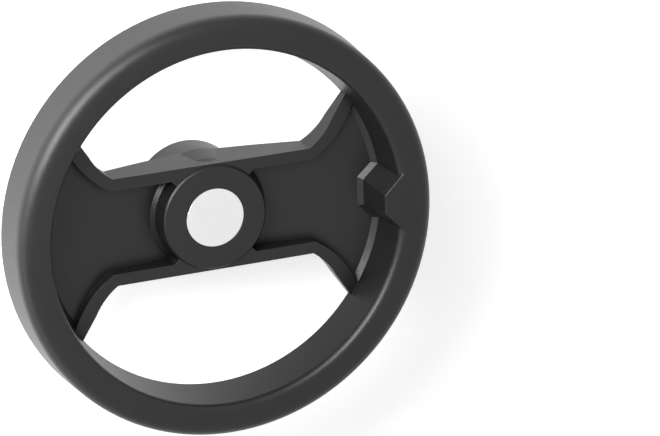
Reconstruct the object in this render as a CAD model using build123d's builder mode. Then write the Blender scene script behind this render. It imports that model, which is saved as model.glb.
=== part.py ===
from build123d import *
from math import atan2, degrees
import os

# Two-spoke machine handwheel, millimetres.
# The wheel turns on Z. Its hub stands on z = 0 and its front faces up.

# rim
rim_radius = 100.0  # widest, at the back edge
rim_width = 18.8  # at the back edge
rim_front_z = 57.7
rim_back_z = 32.9
outer_draft = 1.5  # how much smaller the rim is at the front
inner_draft = 2.65  # how much wider its opening is at the front
outer_rounding = 5.3
inner_rounding = 3.6
back_chamfer = 0.7
rim_wall = 3.5
rim_roof = 4.5
channel_chamfer = 1.5
channel_rib_count = 11  # spaced as 12, with the boss in place of one
channel_rib_thickness = 2.2
channel_rib_setback = 1.5

# spokes
rib_top_z = 36.8
rib_width = 5.6
web_half_width = 25.35
flare_length = 33.8  # from the kink, where a spoke begins to widen, to the rim
flare_middle = (5.5, 4.7)  # the outline's steps from its kink
flare_end = (10.9, 12.45)
flare_tip = (22.7, 31.05)
pocket_kink = 1.2  # how far past the outline's kink the pocket has its own
pocket_flare_middle = (10.3, 8.15)
pocket_flare_end = (19.9, 23.05)
pocket_flare_tip = (25.9, 33.45)
pocket_neck = 17.0  # pocket corners run at 45 degrees to the hub
pocket_draft = 3.0
floor_outer_z = 34.1
floor_slope = 0.118  # the floor dips toward the hub
floor_thickness = 3.4
back_setback = 2.8  # pockets in the back end this far inside the rim
back_outer_z = 31.0
back_slope = 0.276
strip_run = 2.45  # sloped strip along the rim and round the boss's foot
strip_rise = 2.2
spine_thickness = 3.2
spine_setback = 1.0

# hub
ring_radius = 24.6
ring_z = 38.0
ring_chamfer = 0.7
foot_radius = 25.9
foot_z = 29.6
foot_run = 1.9
foot_drop = 1.6
hub_back_radius = 25.6
hub_web_radius = 26.6
hub_web_z = 17.0
hub_wall = 2.9
sleeve_radius = 19.4
core_depth = 30.0
core_draft = 0.5
core_rib_count = 8
core_rib_thickness = 2.4
core_rib_setback = 2.0

# boss on the rim, in line with one spoke, without a hole
boss_length = 8.7  # from the rim's front inner edge to the boss's tip
boss_tip_half = 4.45
boss_foot_length = 10.3  # the same two sizes where its wall meets the strip
boss_foot_half = 5.95
boss_flank = 12.25  # both flanks run at 45 degrees
boss_bite = 0.5  # how far it reaches into the rim's outer wall
boss_edge = 0.6
skirt_depth = 3.4

# steel bush moulded into the hub
bush_radius = 16.0
bush_waist_radius = 15.0
bush_length = 30.0
bush_collar = 5.0
bush_sides = 12
bore_radius = 10.0
bore_chamfer = 1.0
key_width = 6.0
key_reach = 12.8  # from the axis to the keyway's floor

# cover disc pressed into the front of the hub
cover_radius = 14.0
cover_thickness = 1.5
cover_setback = 0.3
cover_chamfer = 0.3
chamber_radius = 12.0
nick_angle = 156.0
nick_depth = 0.6


inner_back_radius = rim_radius - rim_width
inner_front_radius = inner_back_radius + inner_draft
strip_top_z = floor_outer_z + strip_rise
kink = (inner_back_radius - flare_length, web_half_width)
rib_inner_y = web_half_width - rib_width
pocket_corner = (kink[0] + pocket_kink, rib_inner_y)


def floor_z(radius):
    """Height of the spokes' front floor."""
    return floor_outer_z - floor_slope * (floor_outer_radius - radius)


def back_z(radius):
    """Height of the spokes' back edges."""
    return back_outer_z - back_slope * (back_outer_radius - radius)


def rim_share(height):
    """How far up the rim a height is, from 0 at the back to 1 at the front."""
    return (height - rim_back_z) / (rim_front_z - rim_back_z)


def rim_inner(height):
    """Radius of the rim's drafted inner wall."""
    return inner_back_radius + rim_share(height) * (inner_front_radius - inner_back_radius)


def rim_outer(height):
    """Radius of the rim's drafted outer wall."""
    return rim_radius - rim_share(height) * outer_draft


floor_outer_radius = rim_inner(strip_top_z) - strip_run
back_outer_radius = inner_back_radius - back_setback


def strip_radius(height):
    """Radius of the sloped strip between the floor and the rim."""
    return floor_outer_radius + strip_run * (height - floor_outer_z) / strip_rise


def step(start, offset):
    """Point at an offset from another."""
    return (start[0] + offset[0], start[1] + offset[1])


channel_top_z = rim_front_z - rim_roof
seat_z = ring_z - cover_setback - cover_thickness
web_root = rim_inner(rib_top_z) + 1.4  # spokes end inside the rim's inner wall
web_hole = 24.0  # spokes start inside the hub's wall
strip_low_z = floor_outer_z - floor_thickness / 2
strip_high_z = strip_top_z + 1.2

# Rim, open at the back, with stiffening ribs across its channel.
with BuildPart() as channel_rib:
    with BuildSketch(Plane.XZ):
        with BuildLine():
            Polyline(
                (inner_back_radius + 1.8, rim_back_z + channel_rib_setback),
                (rim_radius - 1.8, rim_back_z + channel_rib_setback),
                (rim_outer(channel_top_z) - 2.6, channel_top_z + 1),
                (rim_inner(channel_top_z) + 2.2, channel_top_z + 1),
                close=True,
            )
        make_face()
    extrude(amount=channel_rib_thickness / 2, both=True)

with BuildPart() as rim:
    with BuildSketch(Plane.XZ) as rim_section:
        with BuildLine():
            Polyline(
                (inner_back_radius, rim_back_z),
                (rim_radius, rim_back_z),
                (rim_radius - outer_draft, rim_front_z),
                (inner_front_radius, rim_front_z),
                close=True,
            )
        make_face()
        fillet(rim_section.vertices().group_by(Axis.Y)[-1].sort_by(Axis.X)[-1], outer_rounding)
        fillet(rim_section.vertices().group_by(Axis.Y)[-1].sort_by(Axis.X)[0], inner_rounding)
        chamfer(rim_section.vertices().group_by(Axis.Y)[0], back_chamfer)
    revolve(axis=Axis.Z)
    with BuildSketch(Plane.XZ) as channel:
        with BuildLine():
            Polyline(
                (inner_back_radius + rim_wall, rim_back_z - 1),
                (rim_radius - rim_wall, rim_back_z - 1),
                (rim_outer(channel_top_z) - rim_wall, channel_top_z),
                (rim_inner(channel_top_z) + rim_wall, channel_top_z),
                close=True,
            )
        make_face()
        chamfer(channel.vertices().sort_by(Axis.Y)[-2:], channel_chamfer)
    revolve(axis=Axis.Z, mode=Mode.SUBTRACT)
    rib_spacing = 360 / (channel_rib_count + 1)
    with PolarLocations(
        0, channel_rib_count, start_angle=rib_spacing, angular_range=360 - rib_spacing
    ):
        add(channel_rib.part)

# Front pocket of the right spoke, from above the ribs down to the floor.
with BuildPart() as front_pocket:
    with BuildSketch(Plane.XY.offset(rib_top_z)) as pocket_plan:
        with BuildLine():
            Polyline(
                (pocket_neck, 0),
                (pocket_neck, pocket_neck),
                (rib_inner_y, rib_inner_y),
                pocket_corner,
            )
            ThreePointArc(
                pocket_corner,
                step(pocket_corner, pocket_flare_middle),
                step(pocket_corner, pocket_flare_end),
            )
            pocket_tip = step(pocket_corner, pocket_flare_tip)
            Polyline(
                step(pocket_corner, pocket_flare_end),
                pocket_tip,
                (rim_radius, pocket_tip[1]),
                (rim_radius, 0),
            )
            mirror(about=Plane.XZ)
        make_face()
    extrude(amount=-rib_top_z, taper=pocket_draft)
    with BuildSketch(Plane.XZ):
        with BuildLine():
            Polyline(
                (0, floor_z(0)),
                (rim_radius, floor_z(rim_radius)),
                (rim_radius, rim_front_z),
                (0, rim_front_z),
                close=True,
            )
        make_face()
    revolve(axis=Axis.Z, mode=Mode.INTERSECT)

# Back pocket of the right spoke, under the floor, with a spine left in the middle.
with BuildPart() as back_pocket:
    with BuildSketch():
        add(pocket_plan.sketch_local)
    extrude(amount=rib_top_z)
    with BuildSketch(Plane.XZ):
        with BuildLine():
            Polyline(
                (0, 0),
                (back_outer_radius, 0),
                (back_outer_radius, floor_z(back_outer_radius) - floor_thickness),
                (0, floor_z(0) - floor_thickness),
                close=True,
            )
        make_face()
    revolve(axis=Axis.Z, mode=Mode.INTERSECT)
    with BuildSketch(Plane.XZ):
        with BuildLine():
            Polyline(
                (0, back_z(0) + spine_setback),
                (rim_radius, back_z(rim_radius) + spine_setback),
                (rim_radius, rim_front_z),
                (0, rim_front_z),
                close=True,
            )
        make_face()
    extrude(amount=spine_thickness / 2, both=True, mode=Mode.SUBTRACT)

# Both spokes: outline, sloped back and pockets.
with BuildPart() as web:
    with BuildSketch() as web_plan:
        with BuildLine():
            Line((0, web_half_width), kink)
            ThreePointArc(kink, step(kink, flare_middle), step(kink, flare_end))
            web_tip = step(kink, flare_tip)
            Polyline(
                step(kink, flare_end),
                web_tip,
                (rim_radius, web_tip[1]),
                (rim_radius, 0),
            )
            mirror(about=Plane.YZ)
            mirror(about=Plane.XZ)
        make_face()
    extrude(amount=rib_top_z)
    with BuildSketch(Plane.XZ):
        with BuildLine():
            Polyline(
                (web_hole, back_z(web_hole)),
                (web_root, back_z(web_root)),
                (web_root, rim_front_z),
                (web_hole, rim_front_z),
                close=True,
            )
        make_face()
    revolve(axis=Axis.Z, mode=Mode.INTERSECT)
    for pocket in (front_pocket.part, back_pocket.part):
        add(pocket, mode=Mode.SUBTRACT)
        add(pocket.mirror(Plane.YZ), mode=Mode.SUBTRACT)

# Sloped strips where the floor meets the rim and the hub, within the outline.
with BuildPart() as strips:
    with BuildSketch():
        add(web_plan.sketch_local)
    extrude(amount=rim_front_z)
    with BuildSketch(Plane.XZ):
        with BuildLine():
            Polyline(
                (strip_radius(strip_low_z), strip_low_z),
                (web_root, strip_low_z),
                (web_root, strip_high_z),
                (strip_radius(strip_high_z), strip_high_z),
                close=True,
            )
        make_face()
        with BuildLine():
            Polyline(
                (web_hole + 0.5, foot_z - 1.2 * foot_drop),
                (foot_radius + 1.2 * foot_run, foot_z - 1.2 * foot_drop),
                (foot_radius - 0.3 * foot_run, foot_z + 0.3 * foot_drop),
                (web_hole + 0.5, foot_z + 0.3 * foot_drop),
                close=True,
            )
        make_face()
    revolve(axis=Axis.Z, mode=Mode.INTERSECT)

# Steel bush: two round collars and a many-sided waist that can't turn.
with BuildPart() as bush_form:
    with BuildSketch():
        Circle(bush_radius)
    extrude(amount=bush_length)
    with BuildSketch(Plane.XY.offset(bush_collar)):
        Circle(bush_radius)
        RegularPolygon(bush_waist_radius, bush_sides, mode=Mode.SUBTRACT)
    extrude(amount=bush_length - 2 * bush_collar, mode=Mode.SUBTRACT)

with BuildPart() as bush:
    add(bush_form.part)
    with BuildSketch():
        Circle(bore_radius)
    extrude(amount=bush_length, mode=Mode.SUBTRACT)
    mouths = bush.edges().filter_by(GeomType.CIRCLE).group_by(SortBy.RADIUS)[0]
    chamfer(mouths, bore_chamfer)
    with BuildSketch():
        with Locations((key_reach / 2, 0)):
            Rectangle(key_reach, key_width)
    extrude(amount=bush_length, mode=Mode.SUBTRACT)
bush.part.label = "hub_bush"

# Ring of space moulded into the hub from the back, with ribs across it.
with BuildPart() as hub_core:
    with BuildSketch(Plane.XZ):
        with BuildLine():
            Polyline(
                (sleeve_radius, -1),
                (hub_back_radius - hub_wall, -1),
                (hub_back_radius - hub_wall - core_draft, core_depth),
                (sleeve_radius + core_draft, core_depth),
                close=True,
            )
        make_face()
    revolve(axis=Axis.Z)
    with BuildSketch(Plane.XY.offset(core_rib_setback)):
        with PolarLocations(0, core_rib_count // 2):
            Rectangle(2 * hub_back_radius, core_rib_thickness)
    extrude(amount=core_depth, mode=Mode.SUBTRACT)

# Hub with the seat of the cover disc.
with BuildPart() as hub:
    with BuildSketch(Plane.XZ):
        with BuildLine():
            Polyline(
                (0, 0),
                (hub_back_radius, 0),
                (hub_web_radius, hub_web_z),
                (foot_radius, foot_z),
                (ring_radius, ring_z - ring_chamfer),
                (ring_radius - ring_chamfer, ring_z),
                (0, ring_z),
                close=True,
            )
        make_face()
    revolve(axis=Axis.Z)
    add(hub_core.part, mode=Mode.SUBTRACT)
    add(bush_form.part, mode=Mode.SUBTRACT)
    with BuildSketch(Plane.XY.offset(bush_length)):
        Circle(chamber_radius)
    extrude(amount=ring_z - bush_length, mode=Mode.SUBTRACT)
    with BuildSketch(Plane.XY.offset(seat_z)):
        Circle(cover_radius)
    extrude(amount=ring_z - seat_z, mode=Mode.SUBTRACT)

# Boss, drafted wider toward the back, with the sloped strip round its foot.
foot_x = inner_front_radius - boss_foot_length
boss_end = rim_radius - rim_wall + boss_bite


def boss_outline(tip_half):
    """Half of the boss's outline, measured from its tip."""
    tip = (0, tip_half)
    flank_end = step(tip, (boss_flank, boss_flank))
    reach = rim_radius - foot_x
    return (0, 0), tip, flank_end, (reach, flank_end[1]), (reach, 0)


with BuildPart() as boss:
    foot_plane = Plane(
        (foot_x, 0, floor_z(foot_x) + strip_rise), z_dir=(-floor_slope, 0, 1)
    )
    with BuildSketch(foot_plane) as boss_foot:
        with BuildLine():
            Polyline(*boss_outline(boss_foot_half))
            mirror(about=Plane.XZ)
        make_face()
    extrude(amount=-skirt_depth, taper=-degrees(atan2(strip_run, strip_rise)))
    top_plane = Plane((inner_front_radius - boss_length, 0, rim_front_z))
    with BuildSketch(top_plane) as boss_top:
        with BuildLine():
            Polyline(*boss_outline(boss_tip_half))
            mirror(about=Plane.XZ)
        make_face()
    loft((boss_foot.sketch, boss_top.sketch), ruled=True)
    fillet(boss.faces().sort_by(Axis.Z)[-1].edges(), boss_edge)
    with BuildSketch(Plane.XZ):
        with BuildLine():
            Polyline(
                (0, 0),
                (boss_end, 0),
                (boss_end, rim_front_z - outer_rounding),
                (rim_radius - outer_draft - outer_rounding, rim_front_z),
                (0, rim_front_z),
                close=True,
            )
        make_face()
    revolve(axis=Axis.Z, mode=Mode.INTERSECT)

# The moulded body.
with BuildPart() as body:
    add(rim.part)
    add(web.part)
    add(strips.part)
    add(boss.part)
    add(hub.part)
body.part.label = "wheel_body"

# Cover disc with a nick in its edge for prying it out.
with BuildPart() as cover:
    with BuildSketch(Plane.XY.offset(seat_z)):
        Circle(cover_radius)
        with PolarLocations(cover_radius, 1, nick_angle):
            Rectangle(2 * nick_depth, cover_radius, mode=Mode.SUBTRACT)
    extrude(amount=cover_thickness)
    chamfer(cover.faces().sort_by(Axis.Z)[-1].edges(), cover_chamfer)
cover.part.label = "cover_disc"

os.makedirs("parts", exist_ok=True)
export_step(body.part, "parts/wheel_body.step")
export_step(bush.part, "parts/hub_bush.step")
export_step(cover.part, "parts/cover_disc.step")
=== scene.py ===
import math

import bmesh
import bpy
from mathutils import Matrix, Vector

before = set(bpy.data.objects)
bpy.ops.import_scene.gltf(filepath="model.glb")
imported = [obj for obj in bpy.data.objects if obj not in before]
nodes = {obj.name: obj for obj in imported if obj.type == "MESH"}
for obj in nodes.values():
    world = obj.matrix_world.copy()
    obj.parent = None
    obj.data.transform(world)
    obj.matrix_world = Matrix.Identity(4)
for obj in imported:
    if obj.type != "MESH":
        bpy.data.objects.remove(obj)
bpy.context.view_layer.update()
scene = bpy.context.scene

MM = 0.001

# Sheen and edges of the moulded plastic, with painted shade that dulls the sheen in
# creases
PAINTED_SHADE_REACH = 5 * MM
PAINTED_SHADE_SHEEN = 0.12
OPEN_SHEEN = 0.4
SHARP_EDGE = 0.3 * MM
SOFT_EDGE = 7 * MM
SOFT_EDGE_RADII = (84 * MM, 91 * MM)  # soft edges begin between these, outward
SOFT_EDGE_HEIGHTS = (42 * MM, 46 * MM)  # and between these, upward

# Turned rings on the steel
RING_SPACING = 0.25 * MM
RING_SHIFT = 0.05 * MM

# Floor and surround
FLOOR_HALF_WIDTH = 4
FLOOR_GLOW = 0.72
SURROUND_LIGHT = 0.25
SURROUND_SEEN = 1.0

# Low strips of light beside the rim
STRIP_REACH = 0.27
STRIP_HEIGHT = 0.12
STRIP_LENGTH = 0.2
STRIP_WIDTH = 0.1

# Sockets of a colour mix, which share their names with those of other kinds
MIX_FIRST, MIX_SECOND, MIX_RESULT = 6, 7, 2


# Node helpers

def place(tree, kind, **settings):
    """Adds a node and sets its plain properties."""
    node = tree.nodes.new(kind)
    for name, value in settings.items():
        setattr(node, name, value)
    return node


def feed(tree, socket, value):
    """Links a socket's input, or sets it where the value is a plain one."""
    if isinstance(value, bpy.types.NodeSocket):
        tree.links.new(value, socket)
    else:
        socket.default_value = value


def noise(tree, point, scale, detail, roughness):
    """Noise with a scale in marks per metre."""
    node = place(tree, "ShaderNodeTexNoise")
    tree.links.new(point, node.inputs["Vector"])
    feed(tree, node.inputs["Scale"], scale)
    node.inputs["Detail"].default_value = detail
    node.inputs["Roughness"].default_value = roughness
    return node.outputs["Fac"]


def math_node(tree, operation, first, second=0.0):
    """One step of arithmetic on sockets or plain numbers."""
    node = place(tree, "ShaderNodeMath", operation=operation)
    feed(tree, node.inputs[0], first)
    feed(tree, node.inputs[1], second)
    return node.outputs[0]


def remap(tree, value, low, high, to_low, to_high):
    """Maps one range onto another, held at both ends."""
    node = place(tree, "ShaderNodeMapRange")
    for name, number in (
        ("From Min", low),
        ("From Max", high),
        ("To Min", to_low),
        ("To Max", to_high),
    ):
        node.inputs[name].default_value = number
    tree.links.new(value, node.inputs["Value"])
    return node.outputs["Result"]


def seen_strength(tree, unseen, seen):
    """A strength for where it is seen, also in metal and glass, and one for elsewhere."""
    path = place(tree, "ShaderNodeLightPath").outputs
    looks = math_node(
        tree, "MAXIMUM", path["Is Camera Ray"], path["Is Transmission Ray"]
    )
    looks = math_node(tree, "MAXIMUM", looks, path["Is Glossy Ray"])
    return remap(tree, looks, 0, 1, unseen, seen)


def from_axis(tree, point):
    """Distance from the wheel's axis, and height along it."""
    parts = place(tree, "ShaderNodeSeparateXYZ")
    tree.links.new(point, parts.inputs[0])
    squares = [
        math_node(tree, "MULTIPLY", parts.outputs[axis], parts.outputs[axis])
        for axis in "XY"
    ]
    radius = math_node(tree, "SQRT", math_node(tree, "ADD", *squares))
    return radius, parts.outputs["Z"]


def blend_colours(tree, mask, first, second):
    """The first colour where the mask is 0, and the second where it is 1."""
    node = place(tree, "ShaderNodeMix", data_type="RGBA")
    tree.links.new(mask, node.inputs["Factor"])
    node.inputs[MIX_FIRST].default_value = (*first, 1)
    node.inputs[MIX_SECOND].default_value = (*second, 1)
    return node.outputs[MIX_RESULT]


def bump(tree, height, depth, normal=None):
    """Relief of a given depth in metres, on a normal of its own where one is given."""
    node = place(tree, "ShaderNodeBump")
    node.inputs["Strength"].default_value = 1.0
    node.inputs["Distance"].default_value = depth
    tree.links.new(height, node.inputs["Height"])
    if normal:
        tree.links.new(normal, node.inputs["Normal"])
    return node.outputs["Normal"]


def new_material(name, metallic=0.0):
    """A material with its tree, its shader and the object's own coordinates."""
    material = bpy.data.materials.new(name)
    material.use_nodes = True
    tree = material.node_tree
    skin = tree.nodes["Principled BSDF"]
    skin.inputs["Metallic"].default_value = metallic
    point = place(tree, "ShaderNodeTexCoord").outputs["Object"]
    return material, tree, skin, point


def uneven_surface():
    """Node group with broad faint patches and a fine grain, each of its own scale."""
    group = bpy.data.node_groups.new("uneven_surface", "ShaderNodeTree")
    socket = group.interface.new_socket
    socket("Point", in_out="INPUT", socket_type="NodeSocketVector")
    socket("Patch Scale", in_out="INPUT", socket_type="NodeSocketFloat")
    socket("Grain Scale", in_out="INPUT", socket_type="NodeSocketFloat")
    socket("Patches", in_out="OUTPUT", socket_type="NodeSocketFloat")
    socket("Grain", in_out="OUTPUT", socket_type="NodeSocketFloat")
    given = place(group, "NodeGroupInput").outputs
    result = place(group, "NodeGroupOutput")
    patches = noise(group, given["Point"], given["Patch Scale"], 3.0, 0.55)
    grain = noise(group, given["Point"], given["Grain Scale"], 3.0, 0.7)
    group.links.new(remap(group, patches, 0.3, 0.7, 0, 1), result.inputs["Patches"])
    group.links.new(remap(group, grain, 0.25, 0.75, 0, 1), result.inputs["Grain"])
    return group


def uneven(tree, point, group, patch_size, grain_size):
    """Places the group in a material, with the sizes of its marks in metres."""
    node = place(tree, "ShaderNodeGroup", node_tree=group)
    tree.links.new(point, node.inputs["Point"])
    node.inputs["Patch Scale"].default_value = 1 / patch_size
    node.inputs["Grain Scale"].default_value = 1 / grain_size
    return node.outputs["Patches"], node.outputs["Grain"]


def black_polyamide(group):
    """Moulded plastic: fine matte grain, uneven sheen, painted shade dulling the sheen in
    creases, soft edges.
    """
    material, tree, skin, point = new_material("black_polyamide")
    patches, grain = uneven(tree, point, group, 22 * MM, 0.7 * MM)
    colour = blend_colours(
        tree, patches, (0.0055, 0.0055, 0.0057), (0.0075, 0.0075, 0.0077)
    )
    tree.links.new(colour, skin.inputs["Base Color"])
    # Painted shade: occlusion lowers the specular level in creases and recesses, where
    # shade falls
    painted_crease_shade = place(tree, "ShaderNodeAmbientOcclusion", samples=8)
    painted_crease_shade.inputs["Distance"].default_value = PAINTED_SHADE_REACH
    sheen_with_painted_shade = remap(tree, painted_crease_shade.outputs["AO"], 0.35, 0.9, PAINTED_SHADE_SHEEN, OPEN_SHEEN)
    tree.links.new(sheen_with_painted_shade, skin.inputs["Specular IOR Level"])
    sheen = remap(tree, patches, 0, 1, 0.33, 0.36)
    matte = remap(tree, grain, 0, 1, 0, 0.05)
    tree.links.new(math_node(tree, "ADD", sheen, matte), skin.inputs["Roughness"])
    radius, height = from_axis(tree, point)
    outward = remap(tree, radius, *SOFT_EDGE_RADII, 0, 1)
    upward = remap(tree, height, *SOFT_EDGE_HEIGHTS, 0, 1)
    on_rim_front = math_node(tree, "MULTIPLY", outward, upward)
    edges = place(tree, "ShaderNodeBevel", samples=8)
    edge_radius = remap(tree, on_rim_front, 0, 1, SHARP_EDGE, SOFT_EDGE)
    tree.links.new(edge_radius, edges.inputs["Radius"])
    relief = bump(tree, grain, 0.035 * MM, edges.outputs["Normal"])
    tree.links.new(relief, skin.inputs["Normal"])
    return material


def aluminium(group):
    """Satin aluminium: nearly even, with a faint grain."""
    material, tree, skin, point = new_material("disc_aluminium", 1.0)
    patches, grain = uneven(tree, point, group, 9 * MM, 0.3 * MM)
    colour = blend_colours(tree, patches, (0.77, 0.77, 0.78), (0.80, 0.80, 0.805))
    tree.links.new(colour, skin.inputs["Base Color"])
    tree.links.new(remap(tree, grain, 0, 1, 0.3, 0.4), skin.inputs["Roughness"])
    tree.links.new(bump(tree, grain, 0.004 * MM), skin.inputs["Normal"])
    return material


def steel(group):
    """Turned steel: rings round the axis on the end faces and along the bore."""
    material, tree, skin, point = new_material("bush_steel", 1.0)
    patches, grain = uneven(tree, point, group, 6 * MM, 0.3 * MM)
    radius, height = from_axis(tree, point)
    along = math_node(tree, "ADD", radius, height)
    shift = remap(tree, grain, 0, 1, 0, RING_SHIFT)
    shifted = math_node(tree, "ADD", along, shift)
    angle = math_node(tree, "MULTIPLY", shifted, 2 * math.pi / RING_SPACING)
    turns = math_node(tree, "SINE", angle)
    colour = blend_colours(tree, patches, (0.42, 0.42, 0.43), (0.50, 0.50, 0.51))
    tree.links.new(colour, skin.inputs["Base Color"])
    tree.links.new(remap(tree, turns, -1, 1, 0.26, 0.38), skin.inputs["Roughness"])
    tree.links.new(bump(tree, turns, 0.003 * MM), skin.inputs["Normal"])
    return material


def paper(group):
    """Pale paper with hardly visible fibres, which glows only where it is seen."""
    material, tree, skin, point = new_material("floor_paper")
    patches, grain = uneven(tree, point, group, 60 * MM, 0.8 * MM)
    colour = blend_colours(tree, grain, (0.57, 0.57, 0.57), (0.59, 0.59, 0.59))
    tree.links.new(colour, skin.inputs["Base Color"])
    tree.links.new(remap(tree, patches, 0, 1, 0.85, 0.95), skin.inputs["Roughness"])
    skin.inputs["Emission Color"].default_value = (1, 1, 1, 1)
    glow = seen_strength(tree, 0.0, FLOOR_GLOW)
    tree.links.new(glow, skin.inputs["Emission Strength"])
    return material


surface_group = uneven_surface()
for name, make_material in (
    ("wheel_body", black_polyamide),
    ("hub_bush", steel),
    ("cover_disc", aluminium),
):
    slots = nodes[name].data.materials
    slots.clear()
    slots.append(make_material(surface_group))

# Camera, placed as the photo was taken
camera_data = bpy.data.cameras.new("camera")
camera = bpy.data.objects.new("camera", camera_data)
scene.collection.objects.link(camera)
look = Vector((0.34572459, -0.33396163, -0.87689460))
right = Vector((0.92592958, -0.03004424, 0.37649935))
up = Vector((0.15208197, 0.94210773, -0.29883791))
camera.matrix_world = Matrix((
    (right.x, up.x, -look.x, -0.57366174),
    (right.y, up.y, -look.y, 0.59880029),
    (right.z, up.z, -look.z, 1.63415195),
    (0, 0, 0, 1),
))
camera_data.sensor_width = 36.0
camera_data.lens = 216.92
camera_data.clip_start = 0.01
camera_data.clip_end = 50
scene.camera = camera

# Floor
floor_mesh = bpy.data.meshes.new("floor")
bm = bmesh.new()
bmesh.ops.create_grid(bm, x_segments=1, y_segments=1, size=FLOOR_HALF_WIDTH)
bm.to_mesh(floor_mesh)
bm.free()
floor = bpy.data.objects.new("floor", floor_mesh)
scene.collection.objects.link(floor)
floor_mesh.materials.append(paper(surface_group))

# Light
world = bpy.data.worlds.new("studio")
scene.world = world
world.use_nodes = True
surround = world.node_tree.nodes["Background"]
surround.inputs["Color"].default_value = (1, 1, 1, 1)
brightness = seen_strength(world.node_tree, SURROUND_LIGHT, SURROUND_SEEN)
world.node_tree.links.new(brightness, surround.inputs["Strength"])


def area_lamp(name, width, height, radiance):
    """Area lamp that shines down its own -Z and isn't seen itself."""
    lamp_data = bpy.data.lights.new(name, "AREA")
    lamp_data.shape = "RECTANGLE"
    lamp_data.size = width
    lamp_data.size_y = height
    lamp_data.energy = radiance * math.pi * width * height
    lamp = bpy.data.objects.new(name, lamp_data)
    lamp.visible_camera = False
    scene.collection.objects.link(lamp)
    return lamp


def softbox(name, azimuth, elevation, distance, width, height, radiance):
    """Area lamp that faces the wheel."""
    turn, rise = math.radians(azimuth), math.radians(elevation)
    direction = Vector((
        math.cos(rise) * math.cos(turn), math.cos(rise) * math.sin(turn), math.sin(rise)
    ))
    lamp = area_lamp(name, width, height, radiance)
    lamp.location = direction * distance
    lamp.rotation_mode = "QUATERNION"
    lamp.rotation_quaternion = direction.to_track_quat("Z", "Y")


def floor_strip(azimuth, radiance):
    """Low lamp beside the rim that lights the floor under it."""
    turn = math.radians(azimuth)
    lamp = area_lamp("floor_strip_%d" % azimuth, STRIP_LENGTH, STRIP_WIDTH, radiance)
    lamp.location = (
        STRIP_REACH * math.cos(turn), STRIP_REACH * math.sin(turn), STRIP_HEIGHT
    )
    lamp.rotation_euler = (0, 0, turn + math.pi / 2)


# name, azimuth, elevation, distance, width, height, radiance
for lamp in (
    ("side_softbox", 145, 15, 1.6, 1.1, 0.8, 3.4),
    ("near_left_softbox", 148, 42, 0.5, 0.2, 0.2, 19.0),
    ("near_upper_softbox", 120, 44, 0.5, 0.2, 0.2, 8.0),
):
    softbox(*lamp)

for azimuth, radiance in ((130, 4.2), (160, 7.3), (190, 4.6), (220, 3.4)):
    floor_strip(azimuth, radiance)

scene.view_settings.view_transform = "Standard"
